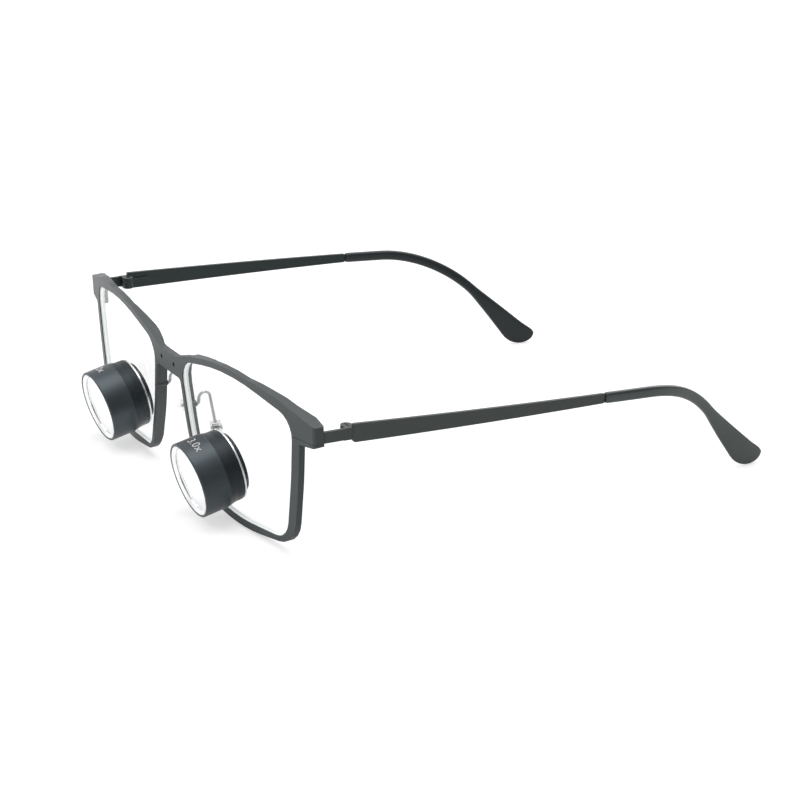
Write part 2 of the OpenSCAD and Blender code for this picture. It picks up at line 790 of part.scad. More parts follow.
module pad_screw() {
    half = lug_w / 2 + slip + box_wall;
    color(silver) on_pad() translate([pad_axis_out, 0, 0]) rotate([-90, 0, 0]) difference() {
        union() {
            translate([0, 0, -half]) cylinder(r = pad_screw_r, h = 2 * half, $fn = 32);
            translate([0, 0, half]) cylinder(r = 2 * pad_screw_r, h = 0.45, $fn = 32);
        }
        translate([-1, -0.1, half + 0.25]) cube([2, 0.2, 1]);
    }
}

core_plate = 0.7;
module core_blank(gap) {
    translate([-core_plate / 2 - gap, 0, 0]) rotate([0, 90, 0]) linear_extrude(core_plate + 2 * gap)
        polygon(rounded([
            [-pad_h * 0.32 - gap, -pad_w * 0.22 - gap, 1.2], [pad_h * 0.32 + gap, -pad_w * 0.22 - gap, 1.2],
            [pad_h * 0.32 + gap, pad_w * 0.22 + gap, 1.2], [-pad_h * 0.32 - gap, pad_w * 0.22 + gap, 1.2]
        ]));
    translate([0, -lug_w / 2 - gap, -0.6 - gap]) cube([pad_axis_out, lug_w + 2 * gap, 1.2 + 2 * gap]);
}

module pad_core() {
    color(pad_clear) on_pad() difference() {
        union() {
            core_blank(0);
            translate([pad_axis_out, lug_w / 2, 0]) rotate([90, 0, 0]) cylinder(r = lug_r, h = lug_w, $fn = 48);
        }
        translate([pad_axis_out, 2, 0]) rotate([90, 0, 0]) cylinder(r = pad_screw_r + fit, h = 4, $fn = 32);
    }
}

module nose_pad() {
    face = 0.55;
    face_r = (pow(pad_h / 2, 2) + pow(pad_t / 2 - face, 2)) / (2 * (pad_t / 2 - face));
    color(pad_clear) on_pad() difference() {
        intersection() {
            translate([-pad_t, 0, 0]) rotate([0, 90, 0]) linear_extrude(2 * pad_t) polygon(rounded([
                [-pad_h / 2, -pad_w * 0.36, 2.6], [pad_h * 0.05, -pad_w / 2, 14], [pad_h / 2, -pad_w / 2, 3.6],
                [pad_h / 2, pad_w / 2, 3.6], [pad_h * 0.05, pad_w / 2, 14], [-pad_h / 2, pad_w * 0.36, 2.6]
            ]));
            translate([face_r - pad_t / 2, 0, 0]) sphere(r = face_r, $fn = 240);
            translate([pad_t / 2 - face_r, 0, 0]) sphere(r = face_r, $fn = 240);
        }
        core_blank(seat);
    }
}

// Hinges, about the upright screw axis

module knuckle(low, high) {
    translate([0, 0, low]) cylinder(r = knuckle_r, h = high - low);
}

module hinge_lug() {
    low = -hinge_h / 2;
    web_at = -1.3;
    web_t = 0.65;
    cheek_len = 2.4;
    color(temple_grey) {
        difference() {
            union() {
                placed() translate([plate_in, block_rear_y - 1, hinge_z - neck_h / 2])
                    cube([temple_t, neck_len + 1 - slip, neck_h]);
                on_hinge() for (z = [low, -low - outer_knuckle_h]) {
                    knuckle(z, z + outer_knuckle_h);
                    translate([0, web_at, z]) cube([plate_in - hinge_x + 0.3, web_t, outer_knuckle_h]);
                }
                placed() translate([plate_in, temple_y - slip - cheek_len, hinge_z + low])
                    cube([temple_t, cheek_len, hinge_h]);
            }
            leaning() translate([block_x - 10, 0, block_bottom - 3]) cube([20, block_rear, block_h + 6]);
            on_hinge() {
                translate([0, 0, low - 1]) cylinder(r = hinge_screw_r + seat, h = hinge_h + 2);
                translate([0, 0, -low - hinge_head_h]) cylinder(r = hinge_head_r + seat, h = 1);
            }
        }
        tenon(0);
    }
}

module hinge_screw() {
    low = -hinge_h / 2;
    color(temple_grey) on_hinge() difference() {
        union() {
            translate([0, 0, low]) cylinder(r = hinge_screw_r, h = hinge_h - 0.1);
            translate([0, 0, -low - hinge_head_h + seat]) cylinder(r = hinge_head_r, h = hinge_head_h - seat);
        }
        translate([-3, -0.15, -low - 0.22]) cube([6, 0.3, 1]);
    }
}

// The curved slab behind the temple's outer face, seen from above
module bow_slab(at, depth) {
    translate([bow_x, bow_y, -20]) difference() {
        cylinder(r = bow_r - at, h = 100, $fn = long_fn * 2);
        translate([0, 0, -1]) cylinder(r = bow_r - at - depth, h = 102, $fn = long_fn * 2);
    }
}

module hinge_leaf() {
    half = hinge_h / 2 - outer_knuckle_h - fit;
    web_at = 0.65;
    color(temple_grey) difference() {
        union() {
            on_hinge() {
                knuckle(-half, half);
                translate([0, web_at, -half]) cube([plate_in - hinge_x - 0.2, 0.65, 2 * half]);
            }
            placed() intersection() {
                translate([plate_in - 3, temple_y + slip, hinge_z - half]) cube([6, leaf_len, 2 * half]);
                bow_slab(temple_t, 0.6);
            }
        }
        on_hinge() translate([0, 0, -5]) cylinder(r = hinge_screw_r + fit, h = 10);
    }
}

// Temples

module temple() {
    rear = tip_start;
    color(temple_grey) placed() {
        intersection() {
            translate([plate_in - 8, 0, 0]) rotate([90, 0, 90]) linear_extrude(20) polygon(rounded([
                [temple_y, hinge_z - temple_h_front / 2, 0.7], [rear[0], rear[1] - temple_h_rear / 2, 0.2],
                [rear[0], rear[1] + temple_h_rear / 2, 0.2], [temple_y, hinge_z + temple_h_front / 2, 0.3]
            ]));
            bow_slab(0, temple_t);
        }
        solid_rings([
            for (i = [0:core_rings])
                tip_ring(core_start + (core_len - core_start) * i / core_rings, core_h / 2, core_t / 2)
        ]);
    }
}

module temple_tip() {
    slot_len = core_len + 0.3;
    color(tip_grey) placed() hollow_rings(
        [for (s = tip_stations) tip_ring(s, tip_half_h(s), tip_half_t(s))],
        [
            for (i = [0:core_rings])
                tip_ring(tip_gap + (slot_len - tip_gap) * i / core_rings, core_h / 2 + slip, core_t / 2 + slip)
        ]
    );
}

front_frame();
carrier_lens();  // left_carrier_lens
mirrored() carrier_lens();  // right_carrier_lens
rim_screw();  // left_rim_screw
mirrored() rim_screw();  // right_rim_screw
objective_housing();  // left_objective_housing
mirrored() objective_housing();  // right_objective_housing
front_ring();  // left_front_ring
mirrored() front_ring();  // right_front_ring
objective_crown();  // left_objective_crown
mirrored() objective_crown();  // right_objective_crown
objective_flint();  // left_objective_flint
mirrored() objective_flint();  // right_objective_flint
spacer_tube();  // left_spacer_tube
mirrored() spacer_tube();  // right_spacer_tube
seat_ring();  // left_seat_ring
mirrored() seat_ring();  // right_seat_ring
eyepiece_housing();  // left_eyepiece_housing
mirrored() eyepiece_housing();  // right_eyepiece_housing
eyepiece_lens();  // left_eyepiece_lens
mirrored() eyepiece_lens();  // right_eyepiece_lens
eyepiece_ring();  // left_eyepiece_ring
mirrored() eyepiece_ring();  // right_eyepiece_ring
pad_arm();  // left_pad_arm
mirrored() pad_arm();  // right_pad_arm
pad_box();  // left_pad_box
mirrored() pad_box();  // right_pad_box
pad_screw();  // left_pad_screw
mirrored() pad_screw();  // right_pad_screw
pad_core();  // left_pad_core
mirrored() pad_core();  // right_pad_core
nose_pad();  // left_nose_pad
mirrored() nose_pad();  // right_nose_pad
hinge_lug();  // left_hinge_lug
mirrored() hinge_lug();  // right_hinge_lug
hinge_screw();  // left_hinge_screw
mirrored() hinge_screw();  // right_hinge_screw
hinge_leaf();  // left_hinge_leaf
mirrored() hinge_leaf();  // right_hinge_leaf
temple();  // left_temple
mirrored() temple();  // right_temple
temple_tip();  // left_temple_tip
mirrored() temple_tip();  // right_temple_tip
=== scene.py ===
import math

import bpy
from mathutils import Matrix, Vector


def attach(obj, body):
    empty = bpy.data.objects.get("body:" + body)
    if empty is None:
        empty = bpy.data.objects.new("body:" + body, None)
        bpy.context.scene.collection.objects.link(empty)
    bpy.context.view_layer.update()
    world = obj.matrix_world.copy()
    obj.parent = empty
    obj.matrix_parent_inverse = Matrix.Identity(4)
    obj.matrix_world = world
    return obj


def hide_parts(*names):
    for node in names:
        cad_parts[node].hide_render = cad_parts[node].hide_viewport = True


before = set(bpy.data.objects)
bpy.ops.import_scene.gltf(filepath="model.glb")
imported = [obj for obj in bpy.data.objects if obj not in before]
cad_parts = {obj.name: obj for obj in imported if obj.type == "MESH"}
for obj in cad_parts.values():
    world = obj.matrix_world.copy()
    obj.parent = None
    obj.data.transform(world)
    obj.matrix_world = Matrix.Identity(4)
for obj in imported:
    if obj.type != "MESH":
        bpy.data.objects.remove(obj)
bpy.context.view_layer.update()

MM = 0.001
SIDES = {"left": 1, "right": -1}

# The photograph's camera as fitted to the loupes, in degrees and metres. The offset moves it
# sideways and up from its line of aim
CAMERA_AZIMUTH = 59.494
CAMERA_ELEVATION = 19.919
CAMERA_ROLL = 2.011
CAMERA_DISTANCE = 0.595935
CAMERA_AIM = Vector((0, -0.01493, 0.014615))
CAMERA_OFFSET = (0.011932, -0.000774)
CAMERA_NEAREST = 0.01
FOCAL_PIXELS = 2131.196
PHOTO_PIXELS = 800
SENSOR = 36.0

# Telescopes: the point where the left one's axis passes the objective housing's rear edge, how
# far it turns down and inwards, the housing's radius, and its length behind the straight part
SCOPE_X = 30.1 * MM
SCOPE_Y = -69.3095 * MM
SCOPE_Z = 14.5115 * MM
SCOPE_DECLINATION = math.radians(14.2)
SCOPE_CONVERGENCE = math.radians(0.4)
SCOPE_R = 10.1 * MM
SCOPE_REAR = 4.3 * MM

# The axis for coordinates that have lost their signs, so that one finish serves both sides, the
# place on it where the straight part ends, and the blur of the painted shade that starts there
SCOPE_AXIS = Vector((
    -math.sin(SCOPE_CONVERGENCE) * math.cos(SCOPE_DECLINATION),
    math.cos(SCOPE_DECLINATION),
    -math.sin(SCOPE_DECLINATION),
))
TAPER_EDGE = Vector((SCOPE_X, -SCOPE_Y, SCOPE_Z)).dot(SCOPE_AXIS) + SCOPE_REAR
TAPER_EDGE_BLUR = 0.15 * MM

# Power mark: its height, its distance in front of the rear edge, its place round the housing
# from the wearer's left, half its thickness, and the width of the strips that let it bend
MARK = "3.0x"
MARK_HEIGHT = 2.2 * MM
MARK_STATION = 8.7 * MM
MARK_ANGLE = math.radians(80)
MARK_HALF = 0.02 * MM
MARK_STRIP = 0.25 * MM
MARK_SPACING = 1.08
FIGURE_SHARE = 0.7  # a figure's height, as a share of the font's size

# Nose pads: the left one's rocking axis and how far it runs outside the pad's middle, the pad's
# size, and how far it is splayed and slanted
PAD_AXIS = Vector((9.8188, -63.1125, 16.7391)) * MM
PAD_AXIS_OUT = 2.65 * MM
PAD_H = 13 * MM
PAD_W = 7.6 * MM
PAD_T = 2.8 * MM
PAD_SPLAY = math.radians(27)
PAD_SLANT = math.radians(20)

# The pad's form, as shares: the bevel of the cube that it starts from, the width that it loses
# towards the top, the thickness that the crown loses, and how that splits up and across
PAD_BEVEL = 0.35
PAD_NARROWING = 0.26
PAD_CROWN = 0.42
PAD_CROWN_UP = 0.7
PAD_CROWN_ACROSS = 0.3

# Front: the middle of its bridge holes, its wrap and its lean
BRIDGE_HOLES = Vector((0, -72.6094, 33.7315)) * MM
WRAP_R = 340 * MM
FRONT_LEAN = math.radians(3.9)

# Carrier lenses: the depths of the tongue behind the face, the tilt below which a face counts as
# edge, how far round the telescope the bore stays clear, and the crease that stays sharp
TONGUE = (0.4 * MM, 1.25 * MM)
EDGE_TILT = 0.2
BORE_MARGIN = 1 * MM
LENS_CREASE = math.radians(20)

# Copies of CAD meshes: the distance at which loose corners merge, and the bend that may still
# join two triangles of the tips to a quad
MERGE = 0.001 * MM
QUAD_BEND = math.radians(60)
SMOOTH_LEVELS = 2

# Patterns: the Noise scale per metre, and the size of what it draws
LACQUER_CLOUD = 90.0  # the coat's tone changes over some 11 mm
SPRAY_GRAIN = 4000.0  # spray grain of 0.25 mm, twice the real size so that it shows
TURNED_CLOUD = 160.0  # the turned metal's tone changes over some 6 mm
BLAST_GRIT = 6000.0  # grit marks of 0.17 mm, coarser than real so that they show
DRAWN_MARKS = 5000.0  # marks of the drawing die, 0.2 mm, coarser than real so that they show
ACETATE_CLOUD = 60.0  # the sheet's tone changes over some 17 mm
BENDING_WAVES = 700.0  # waves of 1.4 mm where the sheet was bent hot
POLISH = 200.0  # unevenness of a polished face, some 5 mm across
COATING_POLISH = 300.0  # unevenness of the coating, some 3 mm across
GROUND_GRIT = 5000.0  # grinding marks of 0.2 mm, coarser than real so that they show
MOULDING_HAZE = 500.0  # haze of the moulding, some 2 mm across
PRINT_GRAIN = 3000.0  # chalky grain of 0.33 mm, coarser than real so that it shows
LAMINATE_CLOUD = 20.0  # the table's tone changes over some 50 mm

# Bevel node: how many rays look for an edge, and the radii that they give to edges
EDGE_RAYS = 6
LACQUER_EDGE = 0.1 * MM
TURNED_EDGE = 0.12 * MM
MOULDED_EDGE = 0.2 * MM


def linear(hex_colour):
    """An sRGB hex value as the linear colour that shaders take."""
    parts = [int(hex_colour[i : i + 2], 16) / 255 for i in (1, 3, 5)]
    return [c / 12.92 if c <= 0.04045 else ((c + 0.055) / 1.055) ** 2.4 for c in parts] + [1.0]


def add(owner, kind, inputs=None, **settings):
    """Adds a node with its settings. An input takes a plain value, or a link from a socket."""
    node = owner.node_tree.nodes.new(kind)
    for name, value in settings.items():
        setattr(node, name, value)
    for name, value in (inputs or {}).items():
        if isinstance(value, bpy.types.NodeSocket):
            owner.node_tree.links.new(value, node.inputs[name])
        else:
            node.inputs[name].default_value = value
    return node


def started(name):
    """An empty material, and the object coordinates that its patterns follow."""
    material = bpy.data.materials.new(name)
    material.use_nodes = True
    material.node_tree.nodes.clear()
    return material, add(material, "ShaderNodeTexCoord").outputs["Object"]


def facing_head(material, where):
    """How far a face looks at the wearer's head: 1 inside a temple, and 0 on its outer face; it
    places painted shade.
    """
    normal = add(material, "ShaderNodeTexCoord").outputs["Normal"]
    across = add(material, "ShaderNodeSeparateXYZ", {0: normal}).outputs["X"]
    place = add(material, "ShaderNodeSeparateXYZ", {0: where}).outputs["X"]
    side = add(material, "ShaderNodeMath", {0: place}, operation="SIGN").outputs["Value"]
    outward = add(
        material, "ShaderNodeMath", {0: across, 1: side}, operation="MULTIPLY"
    ).outputs["Value"]
    return add(
        material, "ShaderNodeMapRange", {"Value": outward, "From Min": -0.2, "From Max": -0.8}
    ).outputs["Result"]


def rounded_edges(material, radius):
    """The normal with its edges rounded, and how near a place is to one: 1 on it and 0 away."""
    rounded = add(
        material, "ShaderNodeBevel", {"Radius": radius}, samples=EDGE_RAYS
    ).outputs["Normal"]
    flat = add(material, "ShaderNodeNewGeometry").outputs["Normal"]
    agreement = add(
        material, "ShaderNodeVectorMath", {0: rounded, 1: flat}, operation="DOT_PRODUCT"
    ).outputs["Value"]
    edge = add(
        material, "ShaderNodeMapRange", {"Value": agreement, "From Min": 1.0, "From Max": 0.8}
    ).outputs["Result"]
    return rounded, edge


def along_scope(material, where):
    """Distance along the telescope's axis, the same on both sides."""
    mirrored = add(
        material, "ShaderNodeVectorMath", {0: where}, operation="ABSOLUTE"
    ).outputs["Vector"]
    return add(
        material, "ShaderNodeVectorMath", {0: mirrored, 1: SCOPE_AXIS}, operation="DOT_PRODUCT"
    ).outputs["Value"]


def lacquered_metal(name, colour, tone, worn, roughness, painted_inner_shade=None):
    """Stoved matte lacquer on titanium: a fine spray grain, a little lighter on rubbed edges, and
    painted shade on faces towards the head when a colour for it is given.
    """
    material, where = started(name)
    cloud = add(
        material,
        "ShaderNodeTexNoise",
        {"Vector": where, "Scale": LACQUER_CLOUD, "Detail": 3.0, "Roughness": 0.6},
    ).outputs["Fac"]
    grain = add(
        material, "ShaderNodeTexNoise", {"Vector": where, "Scale": SPRAY_GRAIN, "Detail": 2.0}
    ).outputs["Fac"]
    rounded, edge = rounded_edges(material, LACQUER_EDGE)
    uneven = add(
        material, "ShaderNodeMapRange", {"Value": cloud, "To Max": 0.9}
    ).outputs["Result"]
    rub = add(
        material, "ShaderNodeMath", {0: edge, 1: uneven}, operation="MULTIPLY"
    ).outputs["Value"]
    body = add(
        material,
        "ShaderNodeMix",
        {"Factor": cloud, "A": linear(colour), "B": linear(tone)},
        data_type="RGBA",
    ).outputs["Result"]
    # Painted shade: faces towards the head take a darker colour
    if painted_inner_shade:
        body = add(
            material,
            "ShaderNodeMix",
            {"Factor": facing_head(material, where), "A": body, "B": linear(painted_inner_shade)},
            data_type="RGBA",
        ).outputs["Result"]
    paint = add(
        material,
        "ShaderNodeMix",
        {"Factor": rub, "A": body, "B": linear(worn)},
        data_type="RGBA",
    ).outputs["Result"]
    rough = add(
        material,
        "ShaderNodeMapRange",
        {"Value": cloud, "To Min": roughness, "To Max": roughness + 0.1},
    ).outputs["Result"]
    bump = add(
        material,
        "ShaderNodeBump",
        {"Height": grain, "Normal": rounded, "Strength": 0.12, "Distance": 0.02 * MM},
    ).outputs["Normal"]
    shader = add(
        material,
        "ShaderNodeBsdfPrincipled",
        {"Base Color": paint, "Metallic": 0.35, "Roughness": rough, "Normal": bump},
    )
    add(material, "ShaderNodeOutputMaterial", {"Surface": shader.outputs["BSDF"]})
    return material


def turned_metal(name, colour, tone, roughness, metallic, line, depth, painted_rear_shade=None):
    """Turned aluminium: tool lines run round the axis, under a soft and broad highlight, with
    painted shade behind the straight part when a colour for it is given.
    """
    material, where = started(name)
    station = along_scope(material, where)
    lines = add(
        material,
        "ShaderNodeTexNoise",
        {"W": station, "Scale": 1 / line, "Detail": 1.0},
        noise_dimensions="1D",
    ).outputs["Fac"]
    cloud = add(
        material, "ShaderNodeTexNoise", {"Vector": where, "Scale": TURNED_CLOUD, "Detail": 3.0}
    ).outputs["Fac"]
    grit = add(
        material, "ShaderNodeTexNoise", {"Vector": where, "Scale": BLAST_GRIT, "Detail": 1.0}
    ).outputs["Fac"]
    height = add(
        material, "ShaderNodeMath", {0: lines, 1: grit}, operation="ADD"
    ).outputs["Value"]
    rounded = add(
        material, "ShaderNodeBevel", {"Radius": TURNED_EDGE}, samples=EDGE_RAYS
    ).outputs["Normal"]
    bump = add(
        material,
        "ShaderNodeBump",
        {"Height": height, "Normal": rounded, "Strength": depth, "Distance": 0.01 * MM},
    ).outputs["Normal"]
    body = add(
        material,
        "ShaderNodeMix",
        {"Factor": cloud, "A": linear(colour), "B": linear(tone)},
        data_type="RGBA",
    ).outputs["Result"]
    # Painted shade: behind the straight part the housing takes a darker colour
    if painted_rear_shade:
        behind = add(
            material,
            "ShaderNodeMapRange",
            {
                "Value": station,
                "From Min": TAPER_EDGE + TAPER_EDGE_BLUR,
                "From Max": TAPER_EDGE - TAPER_EDGE_BLUR,
            },
        ).outputs["Result"]
        body = add(
            material,
            "ShaderNodeMix",
            {"Factor": behind, "A": body, "B": linear(painted_rear_shade)},
            data_type="RGBA",
        ).outputs["Result"]
    rough = add(
        material,
        "ShaderNodeMapRange",
        {"Value": cloud, "To Min": roughness, "To Max": roughness + 0.08},
    ).outputs["Result"]
    shader = add(
        material,
        "ShaderNodeBsdfPrincipled",
        {"Base Color": body, "Metallic": metallic, "Roughness": rough, "Normal": bump},
    )
    add(material, "ShaderNodeOutputMaterial", {"Surface": shader.outputs["BSDF"]})
    return material


def drawn_steel(name, colour, tone, roughness, metallic=1.0):
    """Drawn steel, plated or blackened: smooth, with the fine marks of the die in its gloss."""
    material, where = started(name)
    marks = add(
        material,
        "ShaderNodeTexNoise",
        {"Vector": where, "Scale": DRAWN_MARKS, "Detail": 2.0, "Distortion": 0.3},
    ).outputs["Fac"]
    bump = add(
        material, "ShaderNodeBump", {"Height": marks, "Strength": 0.1, "Distance": 0.01 * MM}
    ).outputs["Normal"]
    body = add(
        material,
        "ShaderNodeMix",
        {"Factor": marks, "A": linear(colour), "B": linear(tone)},
        data_type="RGBA",
    ).outputs["Result"]
    rough = add(
        material,
        "ShaderNodeMapRange",
        {"Value": marks, "To Min": roughness, "To Max": roughness + 0.1},
    ).outputs["Result"]
    shader = add(
        material,
        "ShaderNodeBsdfPrincipled",
        {"Base Color": body, "Metallic": metallic, "Roughness": rough, "Normal": bump},
    )
    add(material, "ShaderNodeOutputMaterial", {"Surface": shader.outputs["BSDF"]})
    return material


def bent_acetate():
    """Cellulose acetate: grey, with faint waves, and black on top as a painted reflection and
    inside as painted shade.
    """
    material, where = started("dark_cellulose_acetate")
    cloud = add(
        material, "ShaderNodeTexNoise", {"Vector": where, "Scale": ACETATE_CLOUD, "Detail": 2.0}
    ).outputs["Fac"]
    wave = add(
        material, "ShaderNodeTexNoise", {"Vector": where, "Scale": BENDING_WAVES, "Detail": 2.0}
    ).outputs["Fac"]
    bump = add(
        material, "ShaderNodeBump", {"Height": wave, "Strength": 0.08, "Distance": 0.05 * MM}
    ).outputs["Normal"]
    normal = add(material, "ShaderNodeTexCoord").outputs["Normal"]
    upward = add(material, "ShaderNodeSeparateXYZ", {0: normal}).outputs["Z"]
    # Painted reflection: faces that look upwards turn black
    top = add(
        material, "ShaderNodeMapRange", {"Value": upward, "From Min": 0.15, "From Max": 0.5}
    ).outputs["Result"]
    # Painted shade: faces towards the head turn black as well
    black = add(
        material, "ShaderNodeMath", {0: top, 1: facing_head(material, where)}, operation="MAXIMUM"
    ).outputs["Value"]
    outside = add(
        material,
        "ShaderNodeMix",
        {"Factor": cloud, "A": linear("#4e5756"), "B": linear("#56605e")},
        data_type="RGBA",
    ).outputs["Result"]
    body = add(
        material,
        "ShaderNodeMix",
        {"Factor": black, "A": outside, "B": linear("#1a2427")},
        data_type="RGBA",
    ).outputs["Result"]
    rough = add(
        material, "ShaderNodeMapRange", {"Value": wave, "To Min": 0.3, "To Max": 0.42}
    ).outputs["Result"]
    shader = add(
        material,
        "ShaderNodeBsdfPrincipled",
        {
            "Base Color": body,
            "Roughness": rough,
            "Normal": bump,
            "IOR": 1.48,
            "Coat Weight": 0.3,
            "Coat Roughness": 0.12,
        },
    )
    add(material, "ShaderNodeOutputMaterial", {"Surface": shader.outputs["BSDF"]})
    return material


def polished_flint():
    """Polished flint glass: clear and bending, and it lets light through so its shadow is pale."""
    material, where = started("clear_flint_glass")
    polish = add(
        material, "ShaderNodeTexNoise", {"Vector": where, "Scale": POLISH, "Detail": 2.0}
    ).outputs["Fac"]
    bump = add(
        material, "ShaderNodeBump", {"Height": polish, "Strength": 0.002, "Distance": 0.02 * MM}
    ).outputs["Normal"]
    glass = add(
        material,
        "ShaderNodeBsdfPrincipled",
        {
            "Base Color": linear("#f6fbfa"),
            "IOR": 1.62,
            "Transmission Weight": 1.0,
            "Roughness": 0.0,
            "Normal": bump,
        },
    )
    open_air = add(material, "ShaderNodeBsdfTransparent", {"Color": linear("#f6fbfa")})
    shadow = add(material, "ShaderNodeLightPath").outputs["Is Shadow Ray"]
    both = add(
        material,
        "ShaderNodeMixShader",
        {0: shadow, 1: glass.outputs["BSDF"], 2: open_air.outputs["BSDF"]},
    )
    add(material, "ShaderNodeOutputMaterial", {"Surface": both.outputs["Shader"]})
    return material


def cast_lens():
    """Cast allyl resin, thin and plano: seen straight through, and glossy only at a glance."""
    material, where = started("clear_allyl_resin")
    polish = add(
        material, "ShaderNodeTexNoise", {"Vector": where, "Scale": POLISH, "Detail": 2.0}
    ).outputs["Fac"]
    open_air = add(material, "ShaderNodeBsdfTransparent", {"Color": linear("#fefefe")})
    sheen = add(
        material,
        "ShaderNodeMix",
        {"Factor": polish, "A": linear("#f4f8f7"), "B": linear("#ffffff")},
        data_type="RGBA",
    ).outputs["Result"]
    rough = add(
        material, "ShaderNodeMapRange", {"Value": polish, "To Max": 0.06}
    ).outputs["Result"]
    gloss = add(
        material,
        "ShaderNodeBsdfPrincipled",
        {"Base Color": sheen, "Metallic": 1.0, "Roughness": rough},
    )
    facing = add(material, "ShaderNodeLayerWeight", {"Blend": 0.5}).outputs["Facing"]
    glance = add(
        material, "ShaderNodeMath", {0: facing, 1: 5.0}, operation="POWER"
    ).outputs["Value"]
    share = add(
        material, "ShaderNodeMapRange", {"Value": glance, "To Min": 0.004, "To Max": 0.6}
    ).outputs["Result"]
    both = add(
        material,
        "ShaderNodeMixShader",
        {0: share, 1: open_air.outputs["BSDF"], 2: gloss.outputs["BSDF"]},
    )
    add(material, "ShaderNodeOutputMaterial", {"Surface": both.outputs["Shader"]})
    return material


def ground_edge():
    """A lens's edge, ground with fine grit: white and dull, with a painted glow for the light that
    the lens carries there.
    """
    material, where = started("ground_lens_edge")
    grit = add(
        material, "ShaderNodeTexNoise", {"Vector": where, "Scale": GROUND_GRIT, "Detail": 2.0}
    ).outputs["Fac"]
    bump = add(
        material, "ShaderNodeBump", {"Height": grit, "Strength": 0.2, "Distance": 0.02 * MM}
    ).outputs["Normal"]
    body = add(
        material,
        "ShaderNodeMix",
        {"Factor": grit, "A": linear("#e4e8e7"), "B": linear("#f2f5f4")},
        data_type="RGBA",
    ).outputs["Result"]
    shader = add(
        material,
        "ShaderNodeBsdfPrincipled",
        {
            "Base Color": body,
            "Roughness": 0.55,
            "Normal": bump,
            # Painted light: a faint glow stands in for the light that the lens carries to its edge
            "Emission Color": linear("#f4f8f8"),
            "Emission Strength": 0.3,
        },
    )
    add(material, "ShaderNodeOutputMaterial", {"Surface": shader.outputs["BSDF"]})
    return material


def clear_moulding(name, tint, body, share, rim_share, painted_edge_shade=None):
    """Clear moulded plastic: seen through, a little milky, and greyer where it is met at a glance.

    All take silicone's IOR, because so little of their skin shows. Painted shade on a box makes
    its rounded edges show as grey lines.
    """
    material, where = started(name)
    haze = add(
        material, "ShaderNodeTexNoise", {"Vector": where, "Scale": MOULDING_HAZE, "Detail": 3.0}
    ).outputs["Fac"]
    open_air = add(material, "ShaderNodeBsdfTransparent", {"Color": linear(tint)})
    milk = add(
        material,
        "ShaderNodeMix",
        {"Factor": haze, "A": linear(body), "B": linear("#eef0f0")},
        data_type="RGBA",
    ).outputs["Result"]
    rough = add(
        material, "ShaderNodeMapRange", {"Value": haze, "To Min": 0.2, "To Max": 0.34}
    ).outputs["Result"]
    skin = add(
        material,
        "ShaderNodeBsdfPrincipled",
        {"Base Color": milk, "Roughness": rough, "IOR": 1.41},
    )
    facing = add(material, "ShaderNodeLayerWeight", {"Blend": 0.5}).outputs["Facing"]
    glance = add(
        material, "ShaderNodeMath", {0: facing, 1: 3.0}, operation="POWER"
    ).outputs["Value"]
    cover = add(
        material, "ShaderNodeMapRange", {"Value": glance, "To Min": share, "To Max": rim_share}
    ).outputs["Result"]
    # Painted shade: grey skin over the rounded edges of a box, so that they show as lines
    if painted_edge_shade:
        _, edge = rounded_edges(material, MOULDED_EDGE)
        line = add(
            material, "ShaderNodeMapRange", {"Value": edge, "To Max": painted_edge_shade}
        ).outputs["Result"]
        cover = add(
            material, "ShaderNodeMath", {0: cover, 1: line}, operation="MAXIMUM"
        ).outputs["Value"]
    both = add(
        material,
        "ShaderNodeMixShader",
        {0: cover, 1: open_air.outputs["BSDF"], 2: skin.outputs["BSDF"]},
    )
    add(material, "ShaderNodeOutputMaterial", {"Surface": both.outputs["Shader"]})
    return material


def coated_crown():
    """Crown glass with a bright coating: clear looked into, and a mirror of the room at a slant."""
    material, where = started("coated_crown_glass")
    polish = add(
        material, "ShaderNodeTexNoise", {"Vector": where, "Scale": COATING_POLISH, "Detail": 2.0}
    ).outputs["Fac"]
    glass_rough = add(
        material, "ShaderNodeMapRange", {"Value": polish, "To Max": 0.02}
    ).outputs["Result"]
    glass = add(
        material,
        "ShaderNodeBsdfPrincipled",
        {
            "Base Color": linear("#f4fbfa"),
            "IOR": 1.52,
            "Transmission Weight": 1.0,
            "Roughness": glass_rough,
        },
    )
    silver = add(
        material,
        "ShaderNodeMix",
        {"Factor": polish, "A": linear("#fbfdfd"), "B": linear("#ffffff")},
        data_type="RGBA",
    ).outputs["Result"]
    coating_rough = add(
        material, "ShaderNodeMapRange", {"Value": polish, "To Min": 0.02, "To Max": 0.05}
    ).outputs["Result"]
    coating = add(
        material,
        "ShaderNodeBsdfPrincipled",
        {"Base Color": silver, "Metallic": 1.0, "Roughness": coating_rough},
    )
    facing = add(material, "ShaderNodeLayerWeight", {"Blend": 0.5}).outputs["Facing"]
    share = add(
        material,
        "ShaderNodeMapRange",
        {"Value": facing, "From Min": 0.3, "From Max": 0.55, "To Min": 0.05, "To Max": 0.97},
        interpolation_type="SMOOTHSTEP",
    ).outputs["Result"]
    both = add(
        material,
        "ShaderNodeMixShader",
        {0: share, 1: glass.outputs["BSDF"], 2: coating.outputs["BSDF"]},
    )
    add(material, "ShaderNodeOutputMaterial", {"Surface": both.outputs["Shader"]})
    return material


